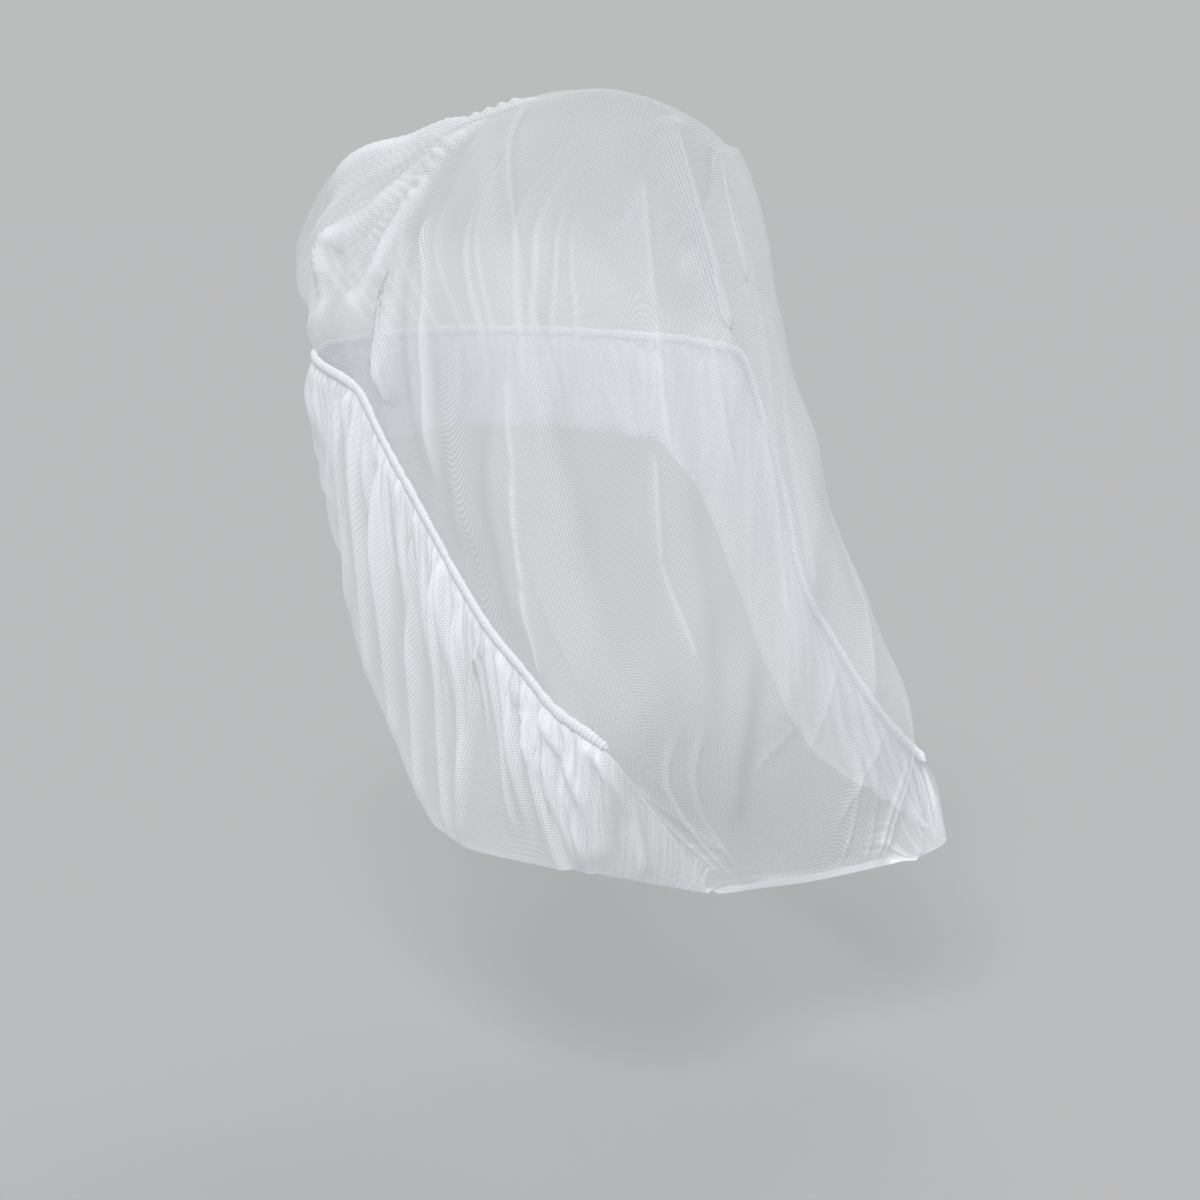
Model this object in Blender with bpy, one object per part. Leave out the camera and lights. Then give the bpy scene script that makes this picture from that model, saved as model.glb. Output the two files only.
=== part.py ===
"""A white mosquito net in the shape in which it hangs: one big sheet of fine tulle whose long edge is
drawn in by an elastic casing. Metres, +Z up, and its front faces -Y. The origin is the top of the brow,
the highest place of the net."""

import bmesh
import bpy
import numpy as np

NET_THICK = 0.002
SEAM_GAP = 0.0005

CASING_RADIUS = 0.0048
CASING_PINCH = 0.0012
CASING_SIDES = 5
CASING_STEPS = 2
CASING_START = 1.15

FOLD_ENDS = 0.2
FOLD_REACH = 1.2
FOLD_CLEAR = 0.35

# The slack turns up at a bottom fold, whose two edges are this far apart.
TURN_WIDTH = 0.011
TURN_SHARE = 0.03
TURN_PLACES = (-1, -0.65, -0.3, -0.03, 0.03, 0.3, 0.65)

ROWS_PER_STATION = (5, 5, 6, 4, 1, 4, 4, 4, 3)
CELLS_PER_GUIDE = (3, 7, 7, 7, 7, 3)

# Stations run from the front hem over the brow and down the back. At each one the sheet passes its
# near rim, the bottom fold of the slack that hangs below the rim, the waist inside the rim, the side,
# the shoulder and the middle, and then the same on the far side. Columns: x, y, z.
STATIONS = (
    "hem", "shin", "lap", "chest", "lip", "brow", "crown", "nape", "tail", "back_waist", "back_fold", "back_rim"
)
NEAR = {
    "rim": (
        (-0.088, -0.344, -0.742),
        (-0.200, -0.371, -0.609),
        (-0.240, -0.308, -0.559),
        (-0.252, -0.190, -0.490),
        (-0.255, -0.140, -0.452),
        (-0.258, -0.080, -0.400),
        (-0.260, -0.010, -0.346),
        (-0.259, 0.050, -0.302),
        (-0.252, 0.120, -0.290),
        (-0.240, 0.180, -0.285),
        (-0.220, 0.232, -0.282),
        (-0.195, 0.270, -0.280),
    ),
    "fold": (
        (-0.078, -0.336, -0.757),
        (-0.185, -0.340, -0.724),
        (-0.222, -0.320, -0.716),
        (-0.245, -0.220, -0.724),
        (-0.250, -0.170, -0.727),
        (-0.250, -0.110, -0.722),
        (-0.248, -0.020, -0.662),
        (-0.244, 0.085, -0.570),
        (-0.236, 0.130, -0.488),
        (-0.221, 0.180, -0.424),
        (-0.201, 0.235, -0.398),
        (-0.180, 0.285, -0.279),
    ),
    "waist": (
        (-0.060, -0.326, -0.764),
        (-0.184, -0.335, -0.668),
        (-0.222, -0.285, -0.570),
        (-0.228, -0.170, -0.500),
        (-0.228, -0.115, -0.460),
        (-0.228, -0.060, -0.410),
        (-0.228, 0.015, -0.355),
        (-0.226, 0.075, -0.320),
        (-0.218, 0.145, -0.305),
        (-0.194, 0.215, -0.297),
        (-0.180, 0.262, -0.392),
        (-0.158, 0.300, -0.278),
    ),
    "side": (
        (-0.042, -0.321, -0.767),
        (-0.190, -0.318, -0.600),
        (-0.215, -0.240, -0.460),
        (-0.212, -0.110, -0.330),
        (-0.205, -0.030, -0.245),
        (-0.202, 0.020, -0.200),
        (-0.205, 0.105, -0.190),
        (-0.208, 0.215, -0.160),
        (-0.202, 0.316, -0.205),
        (-0.150, 0.262, -0.290),
        (-0.140, 0.290, -0.388),
        (-0.125, 0.316, -0.276),
    ),
    "shoulder": (
        (-0.016, -0.314, -0.770),
        (-0.150, -0.335, -0.600),
        (-0.165, -0.245, -0.430),
        (-0.160, -0.120, -0.220),
        (-0.150, -0.016, -0.072),
        (-0.138, 0.004, -0.044),
        (-0.135, 0.130, -0.052),
        (-0.160, 0.255, -0.078),
        (-0.140, 0.348, -0.165),
        (-0.080, 0.285, -0.285),
        (-0.080, 0.308, -0.382),
        (-0.075, 0.334, -0.274),
    ),
}
MIDDLE = (
    (0.010, -0.308, -0.773),
    (0.000, -0.305, -0.620),
    (0.000, -0.240, -0.450),
    (0.000, -0.125, -0.240),
    (0.000, -0.016, -0.030),
    (0.000, 0.000, 0.000),
    (0.000, 0.125, -0.010),
    (0.000, 0.270, -0.062),
    (0.000, 0.365, -0.170),
    (0.000, 0.295, -0.283),
    (0.000, 0.316, -0.378),
    (0.000, 0.342, -0.272),
)
# The far side mirrors the near one, but its front hangs wider and its casing runs lower.
FAR_CHANGES = {
    "rim": {
        "hem": (0.202, -0.304, -0.765),
        "shin": (0.256, -0.252, -0.706),
        "lap": (0.262, -0.140, -0.655),
        "chest": (0.260, -0.062, -0.596),
        "lip": (0.260, -0.025, -0.563),
        "brow": (0.260, 0.005, -0.525),
        "crown": (0.260, 0.040, -0.430),
        "nape": (0.257, 0.080, -0.350),
    },
    "fold": {
        "hem": (0.190, -0.300, -0.775),
        "shin": (0.250, -0.276, -0.764),
        "lap": (0.250, -0.200, -0.750),
        "chest": (0.250, -0.130, -0.740),
        "lip": (0.250, -0.090, -0.732),
        "brow": (0.250, -0.040, -0.715),
        "crown": (0.250, 0.030, -0.655),
    },
    "waist": {
        "hem": (0.170, -0.292, -0.778),
        "shin": (0.236, -0.230, -0.700),
        "lap": (0.232, -0.145, -0.650),
        "chest": (0.230, -0.070, -0.590),
        "lip": (0.230, -0.035, -0.555),
        "brow": (0.230, 0.000, -0.510),
        "crown": (0.230, 0.045, -0.425),
        "nape": (0.226, 0.090, -0.355),
    },
    "side": {
        "hem": (0.145, -0.297, -0.777),
        "shin": (0.236, -0.235, -0.630),
        "lap": (0.212, -0.115, -0.470),
        "chest": (0.205, -0.030, -0.310),
        "lip": (0.202, 0.010, -0.200),
        "brow": (0.200, 0.030, -0.170),
    },
    "shoulder": {
        "hem": (0.080, -0.300, -0.778),
        "shin": (0.145, -0.285, -0.620),
        "lap": (0.150, -0.205, -0.430),
        "chest": (0.155, -0.095, -0.220),
        "lip": (0.152, -0.012, -0.068),
    },
}

# Main folds, by the station and guide where each starts and ends, with half its width and its height.
# Guides count from the near rim (0) over the near fold (1), the middle (5) and the far fold (9).
FRONT_FOLDS = (
    (4.6, 4.2, 1.3, 3.8, 0.020, 0.007),
    (2.8, 3.6, 2.2, 2.2, 0.018, 0.008),
    (3.5, 5.1, 0.9, 4.5, 0.020, 0.006),
    (4.4, 5.5, 2.5, 5.4, 0.018, 0.010),
    (4.9, 6.2, 3.0, 6.3, 0.018, 0.010),
    (2.6, 6.1, 0.8, 5.0, 0.022, 0.008),
    (2.2, 6.7, 0.9, 5.9, 0.020, 0.007),
    (1.6, 5.0, 0.4, 4.6, 0.018, 0.007),
    (3.4, 6.9, 1.6, 7.0, 0.022, 0.008),
)
SIDE_FOLDS = (
    (5.1, 3.5, 4.7, 2.1, 0.018, 0.012),
    (5.5, 3.3, 6.3, 2.1, 0.020, 0.011),
    (3.7, 3.2, 3.5, 2.1, 0.018, 0.007),
    (6.0, 3.9, 8.2, 3.3, 0.022, 0.010),
    (5.7, 3.6, 7.4, 2.6, 0.018, 0.009),
    (6.5, 4.3, 8.7, 4.0, 0.022, 0.009),
    (5.4, 6.9, 5.2, 7.9, 0.020, 0.009),
    (6.4, 6.8, 6.6, 7.9, 0.022, 0.010),
    (4.3, 7.0, 3.6, 7.9, 0.020, 0.008),
    (6.8, 5.9, 8.6, 6.5, 0.022, 0.009),
    (2.5, 1.9, 2.2, 1.2, 0.018, 0.007),
    (3.6, 1.9, 3.5, 1.2, 0.018, 0.008),
    (5.2, 1.9, 5.3, 1.2, 0.020, 0.008),
    (6.3, 1.9, 6.5, 1.2, 0.020, 0.008),
    (7.3, 4.9, 8.9, 4.8, 0.018, 0.007),
    (7.4, 5.6, 8.9, 5.6, 0.018, 0.008),
)
FLAP_FOLDS = (
    (1.5, 0.0, 0.6, 0.7, 0.014, 0.008),
    (2.2, 0.1, 1.3, 0.8, 0.014, 0.010),
    (2.5, 0.1, 1.7, 0.9, 0.014, 0.009),
    (2.7, 0.1, 2.6, 0.9, 0.014, 0.010),
    (2.8, 0.1, 4.2, 0.8, 0.016, 0.011),
    (4.0, 0.1, 5.1, 0.9, 0.016, 0.010),
    (5.2, 0.1, 6.0, 0.9, 0.018, 0.011),
    (6.3, 0.1, 6.9, 0.9, 0.018, 0.010),
    (7.4, 0.1, 7.9, 0.9, 0.018, 0.009),
    (8.6, 0.1, 9.0, 0.9, 0.018, 0.008),
    (2.2, 9.9, 1.9, 9.2, 0.016, 0.009),
    (3.3, 9.9, 3.2, 9.1, 0.016, 0.010),
    (4.9, 9.9, 5.0, 9.1, 0.018, 0.010),
    (6.2, 9.9, 6.4, 9.1, 0.018, 0.010),
    (7.4, 9.9, 7.9, 9.1, 0.018, 0.009),
    (10.9, 3.4, 10.1, 3.4, 0.018, 0.008),
    (10.9, 4.6, 10.1, 4.6, 0.018, 0.008),
    (10.9, 5.7, 10.1, 5.7, 0.018, 0.008),
    (10.9, 6.8, 10.1, 6.8, 0.018, 0.008),
)
NEAR_FOLD, FAR_FOLD, BACK_FOLD = 1, 9, 10


def guide_points():
    """The held points by guide and station, with each bottom fold split into its two edges."""
    near = [np.array(NEAR[name]) for name in NEAR]
    far = []
    for name, points in NEAR.items():
        side = np.array(points) * (-1, 1, 1)
        for station, point in FAR_CHANGES[name].items():
            side[STATIONS.index(station)] = point
        far.append(side)
    points = np.array(near + [np.array(MIDDLE)] + far[::-1])
    for fold in (FAR_FOLD, NEAR_FOLD):
        points = split_fold(points, fold)
    return split_fold(points.swapaxes(0, 1), BACK_FOLD).swapaxes(0, 1)


def split_fold(rows, fold):
    """Rows of points with the one at a fold parted into two, level with each other."""
    apart = rows[fold + 1] - rows[fold - 1]
    apart[:, 2] = 0
    apart *= TURN_WIDTH / 2 / np.linalg.norm(apart, axis=1, keepdims=True)
    return np.concatenate([rows[:fold], [rows[fold] - apart, rows[fold] + apart], rows[fold + 1:]])


def places_of(count, folds):
    """Where the held rows lie, when a row at a fold is parted into two."""
    places = [place for place in range(count) if place not in folds]
    places += [fold + side * TURN_SHARE for fold in folds for side in (-1, 1)]
    return np.array(sorted(places), dtype=float)


def spline(points, knots, at):
    """Points on a smooth curve through the given points, which never swings past one of them."""
    steps = np.diff(knots)[:, None]
    slopes = np.diff(points, axis=0) / steps
    before, after = slopes[:-1], slopes[1:]
    same_way = before * after > 0
    lead, lag = 2 * steps[1:] + steps[:-1], steps[1:] + 2 * steps[:-1]
    tangents = np.zeros_like(points)
    tangents[0] = slopes[0]
    tangents[-1] = slopes[-1]
    inner = np.zeros_like(before)
    shared = lead / np.where(same_way, before, 1) + lag / np.where(same_way, after, 1)
    inner[same_way] = ((lead + lag) / shared)[same_way]
    tangents[1:-1] = inner
    span = np.clip(np.searchsorted(knots, at, side="right") - 1, 0, len(steps) - 1)
    step = steps[span]
    u = ((at - knots[span]) / step[:, 0])[:, None]
    start, end = points[span], points[span + 1]
    leave, arrive = tangents[span] * step, tangents[span + 1] * step
    return (
        start * (2 * u**3 - 3 * u**2 + 1)
        + leave * (u**3 - 2 * u**2 + u)
        + end * (3 * u**2 - 2 * u**3)
        + arrive * (u**3 - u**2)
    )


def surface(guides, station, across):
    """Points of the sheet at one station, at places counted in guides from the near rim."""
    stations = places_of(len(STATIONS), (BACK_FOLD,))
    held = np.array([spline(guide, stations, np.array([station]))[0] for guide in guides])
    # Knots that grow with the root of the distance keep the turn at each bottom fold from swinging wide.
    lengths = np.sqrt(np.linalg.norm(np.diff(held, axis=0), axis=1)) + 0.02
    knots = np.concatenate([[0], np.cumsum(lengths)])
    places = np.interp(across, places_of(len(held) - 2, (NEAR_FOLD, FAR_FOLD)), knots)
    return spline(held, knots, places)


def steps_of(counts):
    """Evenly cut places between whole numbers, with the given count of cells in each."""
    places = [k + i / count for k, count in enumerate(counts) for i in range(count)]
    return np.array(places + [len(counts)], dtype=float)


def smooth_step(value):
    value = np.clip(value, 0, 1)
    return value * value * (3 - 2 * value)


def distance_to(points, line):
    """How far each point is from a line of short straight pieces, and how far along it that is, 0 to 1."""
    best = np.full(points.shape[:-1], np.inf)
    along = np.zeros(points.shape[:-1])
    for k, (start, end) in enumerate(zip(line[:-1], line[1:])):
        run = end - start
        part = np.clip(((points - start) @ run) / (run @ run), 0, 1)
        gap = np.linalg.norm(points - start - part[..., None] * run, axis=-1)
        closer = gap < best
        best[closer] = gap[closer]
        along[closer] = ((k + part) / (len(line) - 1))[closer]
    return best, along


def fold_heights(guides, grid, stations, across):
    """How far the main folds lift each point of the sheet."""
    lift = np.zeros(grid.shape[:2])
    for table, on_flap in ((FRONT_FOLDS, False), (SIDE_FOLDS, False), (FLAP_FOLDS, True)):
        for from_station, from_guide, to_station, to_guide, half_width, height in table:
            where = np.linspace(0, 1, 9)
            row = from_station + (to_station - from_station) * where
            column = from_guide + (to_guide - from_guide) * where
            line = np.array([surface(guides, i, np.array([j]))[0] for i, j in zip(row, column)])
            gap, along = distance_to(grid, line)
            ends = smooth_step(along / FOLD_ENDS) * smooth_step((1 - along) / FOLD_ENDS)
            near = (across > column.min() - FOLD_REACH) & (across < column.max() + FOLD_REACH)
            zone = near[None] & (flap_mask(stations, across) == on_flap)
            lift += np.where(zone, height * np.exp(-((gap / half_width) ** 2)) * ends, 0)
    from_turn = np.minimum(np.abs(across - NEAR_FOLD), np.abs(across - FAR_FOLD))
    from_back = np.abs(stations - BACK_FOLD)
    return lift * smooth_step(from_turn / FOLD_CLEAR)[None] * smooth_step(from_back / FOLD_CLEAR)[:, None]


def flap_mask(stations, across):
    """Where the sheet hangs outside itself, between its rim and the bottom fold."""
    sides = (across < NEAR_FOLD) | (across > FAR_FOLD)
    return sides[None] | (stations > BACK_FOLD)[:, None]


def sheet_grid():
    """Points of the folded sheet, by station and place across."""
    guides = guide_points()
    turn = np.array(TURN_PLACES)
    stations = np.concatenate([steps_of(ROWS_PER_STATION)[:-1], BACK_FOLD + turn, [BACK_FOLD + 1]])
    across = np.concatenate([NEAR_FOLD + turn, NEAR_FOLD + 1 + steps_of(CELLS_PER_GUIDE), FAR_FOLD - turn[::-1]])
    grid = np.array([surface(guides, station, across) for station in stations])
    lift = fold_heights(guides, grid, stations, across)
    outward = np.where(flap_mask(stations, across), -1.0, 1.0)
    return stations, across, grid + grid_normals(grid) * (lift * outward)[..., None]


def grid_normals(grid):
    """Outward normals at the points of a grid, each the mean of the cells that meet there."""
    cells = np.cross(grid[:-1, 1:] - grid[1:, :-1], grid[1:, 1:] - grid[:-1, :-1])
    cells /= np.linalg.norm(cells, axis=2, keepdims=True)
    rows, columns = cells.shape[:2]
    normals = np.zeros_like(grid)
    for i in (0, 1):
        for j in (0, 1):
            normals[i : i + rows, j : j + columns] += cells
    return normals / np.linalg.norm(normals, axis=2, keepdims=True)


def panel_mesh(name, grid, thick):
    """A closed sheet: the grid pushed half its thickness to either side, with its four edges walled."""
    rows, columns = grid.shape[:2]
    normals = grid_normals(grid)
    layers = np.concatenate([grid + normals * thick / 2, grid - normals * thick / 2])
    points = layers.reshape(-1, 3)
    low = rows * columns

    def index(i, j):
        return i * columns + j

    # Both sides are cut along the same shorter diagonals, so that they stay apart where a cell is twisted.
    rising = np.linalg.norm(grid[1:, 1:] - grid[:-1, :-1], axis=2)
    falling = np.linalg.norm(grid[1:, :-1] - grid[:-1, 1:], axis=2)
    faces = []
    for i in range(rows - 1):
        for j in range(columns - 1):
            a, b, c, d = index(i, j), index(i + 1, j), index(i + 1, j + 1), index(i, j + 1)
            halves = ((a, b, c), (a, c, d)) if rising[i, j] < falling[i, j] else ((a, b, d), (b, c, d))
            for half in halves:
                faces.append(half)
                faces.append(tuple(k + low for k in reversed(half)))
    border = [index(i, 0) for i in range(rows)]
    border += [index(rows - 1, j) for j in range(1, columns)]
    border += [index(i, columns - 1) for i in range(rows - 2, -1, -1)]
    border += [index(0, j) for j in range(columns - 2, 0, -1)]
    for here, after in zip(border, border[1:] + border[:1]):
        faces.append((after, here, here + low, after + low))
    return mesh_of(name, points, faces)


def tube_mesh(name, centres, radii, sides):
    """A closed tube along the centres, with flat ends."""
    path = np.gradient(centres, axis=0)
    path /= np.linalg.norm(path, axis=1, keepdims=True)
    first = np.cross(path, (0.0, 0.0, 1.0))
    first /= np.linalg.norm(first, axis=1, keepdims=True)
    second = np.cross(path, first)
    turns = np.arange(sides) * 2 * np.pi / sides
    rings = (
        centres[:, None]
        + radii[:, None, None] * np.cos(turns)[None, :, None] * first[:, None]
        + radii[:, None, None] * np.sin(turns)[None, :, None] * second[:, None]
    )
    faces = []
    for i in range(len(centres) - 1):
        for j in range(sides):
            k = (j + 1) % sides
            faces.append((i * sides + j, i * sides + k, (i + 1) * sides + k, (i + 1) * sides + j))
    last = (len(centres) - 1) * sides
    faces.append(tuple(range(sides - 1, -1, -1)))
    faces.append(tuple(range(last, last + sides)))
    return mesh_of(name, rings.reshape(-1, 3), faces)


def mesh_of(name, points, faces):
    mesh = bpy.data.meshes.new(name)
    mesh.from_pydata([tuple(point) for point in points], [], faces)
    shape = bmesh.new()
    shape.from_mesh(mesh)
    bmesh.ops.recalc_face_normals(shape, faces=shape.faces)
    if shape.calc_volume(signed=True) < 0:
        bmesh.ops.reverse_faces(shape, faces=shape.faces)
    shape.to_mesh(mesh)
    shape.free()
    mesh.shade_smooth()
    return mesh


def material(name, color, roughness):
    made = bpy.data.materials.new(name)
    made.use_nodes = True
    shader = made.node_tree.nodes["Principled BSDF"]
    shader.inputs["Base Color"].default_value = (*color, 1.0)
    shader.inputs["Roughness"].default_value = roughness
    shader.inputs["Metallic"].default_value = 0.0
    return made


def add(name, mesh, finish):
    piece = bpy.data.objects.new(name, mesh)
    piece.data.materials.append(finish)
    bpy.context.scene.collection.objects.link(piece)
    return piece


def casing_path(edge, inward):
    """Centres and radii of a ruched casing just beyond an edge of the sheet."""
    path = np.gradient(edge, axis=0)
    path /= np.linalg.norm(path, axis=1, keepdims=True)
    outward = edge - inward
    outward -= path * np.sum(outward * path, axis=1, keepdims=True)
    outward /= np.linalg.norm(outward, axis=1, keepdims=True)
    centres = edge + outward * (CASING_RADIUS + SEAM_GAP)
    places = np.linspace(0, len(centres) - 1, (len(centres) - 1) * CASING_STEPS + 1)
    knots = np.arange(len(centres))
    fine = np.stack([np.interp(places, knots, centres[:, axis]) for axis in range(3)], axis=1)
    radii = np.where(np.arange(len(fine)) % 2, CASING_RADIUS - CASING_PINCH, CASING_RADIUS)
    return fine, radii


def rim_loop(grid, stations):
    """The gathered edge of the sheet from the near front round the back to the far front, and the points inside it."""
    first = int(np.argmax(stations >= CASING_START))
    edge = [grid[first:, 0], grid[-1, 1:-1], grid[first:, -1][::-1]]
    inward = [grid[first:-1, 1], grid[-2, 1:2], grid[-2, 1:-1], grid[-2, -2:-1], grid[first:-1, -2][::-1]]
    return np.concatenate(edge), np.concatenate(inward)


def main():
    for old in list(bpy.data.objects):
        bpy.data.objects.remove(old)
    tulle = material("white_tulle", (0.86, 0.87, 0.89), 0.8)
    elastic = material("white_elastic_casing", (0.88, 0.90, 0.93), 0.85)
    stations, _, grid = sheet_grid()
    add("net", panel_mesh("net", grid, NET_THICK), tulle)
    centres, radii = casing_path(*rim_loop(grid, stations))
    add("elastic_casing", tube_mesh("elastic_casing", centres, radii, CASING_SIDES), elastic)


main()
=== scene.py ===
import math

import bpy
import numpy as np
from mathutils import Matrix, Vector


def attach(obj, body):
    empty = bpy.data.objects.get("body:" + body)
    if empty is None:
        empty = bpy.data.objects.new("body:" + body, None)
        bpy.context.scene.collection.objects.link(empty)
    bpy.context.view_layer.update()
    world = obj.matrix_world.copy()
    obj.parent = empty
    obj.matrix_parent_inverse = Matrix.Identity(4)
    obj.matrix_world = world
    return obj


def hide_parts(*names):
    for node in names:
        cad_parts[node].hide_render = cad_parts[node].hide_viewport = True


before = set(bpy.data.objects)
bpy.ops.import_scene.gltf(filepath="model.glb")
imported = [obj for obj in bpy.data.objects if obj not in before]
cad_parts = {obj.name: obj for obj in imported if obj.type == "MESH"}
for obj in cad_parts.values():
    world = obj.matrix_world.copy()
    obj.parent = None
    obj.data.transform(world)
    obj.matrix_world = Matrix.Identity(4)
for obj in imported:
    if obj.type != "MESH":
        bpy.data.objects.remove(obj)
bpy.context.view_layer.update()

# The photograph's camera, from the front left and a little above, and the floor it looks down on.
CAMERA_PLACE = (-1.3364, -2.2555, -0.0548)
CAMERA_TARGET = (-0.094, -0.159, -0.504)
CAMERA_LENS = 75.0
CAMERA_RISE = 0.003
FLOOR_LEVEL = -0.979
FLOOR_SIDE = 60.0

# Where the sheet is held, as in the solids. Stations run from the front hem over the brow and down the
# back. Guides run from the near rim over the bottom fold, the waist, the side and the shoulder to the
# middle, and then the same on the far side. Columns: x, y, z.
STATIONS = (
    "hem", "shin", "lap", "chest", "lip", "brow",
    "crown", "nape", "tail", "back_waist", "back_fold", "back_rim",
)
NEAR = {
    "rim": (
        (-0.088, -0.344, -0.742),
        (-0.200, -0.371, -0.609),
        (-0.240, -0.308, -0.559),
        (-0.252, -0.190, -0.490),
        (-0.255, -0.140, -0.452),
        (-0.258, -0.080, -0.400),
        (-0.260, -0.010, -0.346),
        (-0.259, 0.050, -0.302),
        (-0.252, 0.120, -0.290),
        (-0.240, 0.180, -0.285),
        (-0.220, 0.232, -0.282),
        (-0.195, 0.270, -0.280),
    ),
    "fold": (
        (-0.078, -0.336, -0.757),
        (-0.185, -0.340, -0.724),
        (-0.222, -0.320, -0.716),
        (-0.245, -0.220, -0.724),
        (-0.250, -0.170, -0.727),
        (-0.250, -0.110, -0.722),
        (-0.248, -0.020, -0.662),
        (-0.244, 0.085, -0.570),
        (-0.236, 0.130, -0.488),
        (-0.221, 0.180, -0.424),
        (-0.201, 0.235, -0.398),
        (-0.180, 0.285, -0.279),
    ),
    "waist": (
        (-0.060, -0.326, -0.764),
        (-0.184, -0.335, -0.668),
        (-0.222, -0.285, -0.570),
        (-0.228, -0.170, -0.500),
        (-0.228, -0.115, -0.460),
        (-0.228, -0.060, -0.410),
        (-0.228, 0.015, -0.355),
        (-0.226, 0.075, -0.320),
        (-0.218, 0.145, -0.305),
        (-0.194, 0.215, -0.297),
        (-0.180, 0.262, -0.392),
        (-0.158, 0.300, -0.278),
    ),
    "side": (
        (-0.042, -0.321, -0.767),
        (-0.190, -0.318, -0.600),
        (-0.215, -0.240, -0.460),
        (-0.212, -0.110, -0.330),
        (-0.205, -0.030, -0.245),
        (-0.202, 0.020, -0.200),
        (-0.205, 0.105, -0.190),
        (-0.208, 0.215, -0.160),
        (-0.202, 0.316, -0.205),
        (-0.150, 0.262, -0.290),
        (-0.140, 0.290, -0.388),
        (-0.125, 0.316, -0.276),
    ),
    "shoulder": (
        (-0.016, -0.314, -0.770),
        (-0.150, -0.335, -0.600),
        (-0.165, -0.245, -0.430),
        (-0.160, -0.120, -0.220),
        (-0.150, -0.016, -0.072),
        (-0.138, 0.004, -0.044),
        (-0.135, 0.130, -0.052),
        (-0.160, 0.255, -0.078),
        (-0.140, 0.348, -0.165),
        (-0.080, 0.285, -0.285),
        (-0.080, 0.308, -0.382),
        (-0.075, 0.334, -0.274),
    ),
}
MIDDLE = (
    (0.010, -0.308, -0.773),
    (0.000, -0.305, -0.620),
    (0.000, -0.240, -0.450),
    (0.000, -0.125, -0.240),
    (0.000, -0.016, -0.030),
    (0.000, 0.000, 0.000),
    (0.000, 0.125, -0.010),
    (0.000, 0.270, -0.062),
    (0.000, 0.365, -0.170),
    (0.000, 0.295, -0.283),
    (0.000, 0.316, -0.378),
    (0.000, 0.342, -0.272),
)
FAR_CHANGES = {
    "rim": {
        "hem": (0.202, -0.304, -0.765),
        "shin": (0.256, -0.252, -0.706),
        "lap": (0.262, -0.140, -0.655),
        "chest": (0.260, -0.062, -0.596),
        "lip": (0.260, -0.025, -0.563),
        "brow": (0.260, 0.005, -0.525),
        "crown": (0.260, 0.040, -0.430),
        "nape": (0.257, 0.080, -0.350),
    },
    "fold": {
        "hem": (0.190, -0.300, -0.775),
        "shin": (0.250, -0.276, -0.764),
        "lap": (0.250, -0.200, -0.750),
        "chest": (0.250, -0.130, -0.740),
        "lip": (0.250, -0.090, -0.732),
        "brow": (0.250, -0.040, -0.715),
        "crown": (0.250, 0.030, -0.655),
    },
    "waist": {
        "hem": (0.170, -0.292, -0.778),
        "shin": (0.236, -0.230, -0.700),
        "lap": (0.232, -0.145, -0.650),
        "chest": (0.230, -0.070, -0.590),
        "lip": (0.230, -0.035, -0.555),
        "brow": (0.230, 0.000, -0.510),
        "crown": (0.230, 0.045, -0.425),
        "nape": (0.226, 0.090, -0.355),
    },
    "side": {
        "hem": (0.145, -0.297, -0.777),
        "shin": (0.236, -0.235, -0.630),
        "lap": (0.212, -0.115, -0.470),
        "chest": (0.205, -0.030, -0.310),
        "lip": (0.202, 0.010, -0.200),
        "brow": (0.200, 0.030, -0.170),
    },
    "shoulder": {
        "hem": (0.080, -0.300, -0.778),
        "shin": (0.145, -0.285, -0.620),
        "lap": (0.150, -0.205, -0.430),
        "chest": (0.155, -0.095, -0.220),
        "lip": (0.152, -0.012, -0.068),
    },
}
MID_GUIDE, BROW = 5, 5
NEAR_FOLD, FAR_FOLD, BACK_FOLD = 1, 9, 10
LAST_GUIDE, LAST_STATION = 10, 11
TURN_WIDTH = 0.011
TURN_SHARE = 0.03
TURN_BLEND = 0.3

# Soft main folds of the inner layer: from station and guide to station and guide, half width, height. All
# but the last two are in the solids too. Those two fill it out behind the gathered edge at the back.
SOFT_FOLDS = (
    (4.6, 4.2, 1.3, 3.8, 0.020, 0.007),
    (2.8, 3.6, 2.2, 2.2, 0.018, 0.008),
    (3.5, 5.1, 0.9, 4.5, 0.020, 0.006),
    (4.4, 5.5, 2.5, 5.4, 0.018, 0.010),
    (4.9, 6.2, 3.0, 6.3, 0.018, 0.010),
    (2.6, 6.1, 0.8, 5.0, 0.022, 0.008),
    (2.2, 6.7, 0.9, 5.9, 0.020, 0.007),
    (1.6, 5.0, 0.4, 4.6, 0.018, 0.007),
    (3.4, 6.9, 1.6, 7.0, 0.022, 0.008),
    (5.1, 3.5, 4.7, 2.1, 0.018, 0.012),
    (5.5, 3.3, 6.3, 2.1, 0.020, 0.011),
    (3.7, 3.2, 3.5, 2.1, 0.018, 0.007),
    (6.0, 3.9, 8.2, 3.3, 0.022, 0.010),
    (5.7, 3.6, 7.4, 2.6, 0.018, 0.009),
    (6.5, 4.3, 8.7, 4.0, 0.022, 0.009),
    (5.4, 6.9, 5.2, 7.9, 0.020, 0.009),
    (6.4, 6.8, 6.6, 7.9, 0.022, 0.010),
    (4.3, 7.0, 3.6, 7.9, 0.020, 0.008),
    (6.8, 5.9, 8.6, 6.5, 0.022, 0.009),
    (7.3, 4.9, 8.9, 4.8, 0.018, 0.007),
    (7.4, 5.6, 8.9, 5.6, 0.018, 0.008),
    (6.6, 2.4, 9.3, 2.35, 0.040, 0.020),
    (6.6, 7.6, 9.3, 7.65, 0.040, 0.020),
)

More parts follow.
